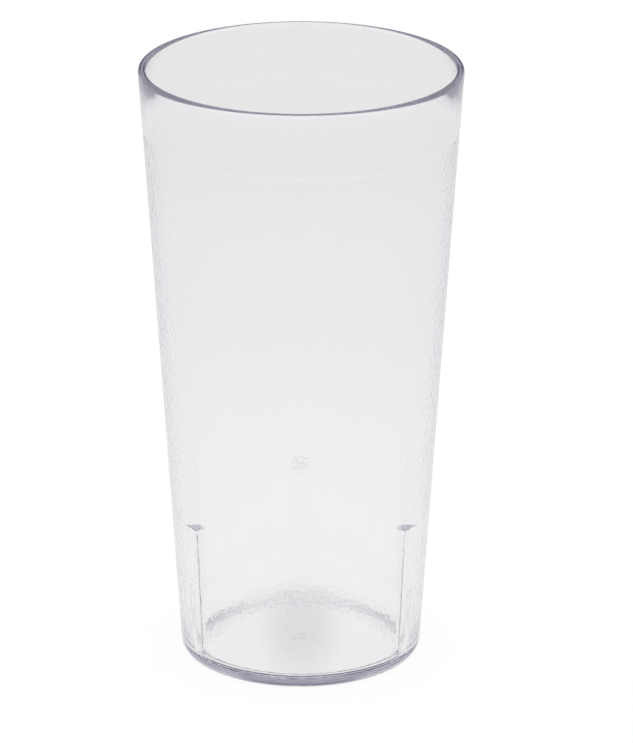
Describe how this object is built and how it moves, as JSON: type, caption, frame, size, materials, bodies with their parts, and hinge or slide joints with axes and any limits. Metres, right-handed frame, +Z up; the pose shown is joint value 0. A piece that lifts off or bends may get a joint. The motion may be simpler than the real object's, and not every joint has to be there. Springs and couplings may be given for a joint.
{
  "type": "plastic tumbler cup",
  "caption": "Tall tapered stacking tumbler in clear plastic with a fully rounded lip, a plain drinking band, a textured wall and stacking ribs inside.",
  "frame": {"origin": "centre of the circle that the cup stands on", "axes": "+Z up along the cup's axis, out of its mouth; one stacking rib lies towards +Y"},
  "size_m": [0.0838, 0.0838, 0.1603],
  "materials": {
    "clear_plastic": "clear moulded plastic, smooth inside and on the drinking band, finely pebbled on the outside below it"
  },
  "bodies": {
    "root": {"tumbler": "clear_plastic"}
  },
  "joints": []
}
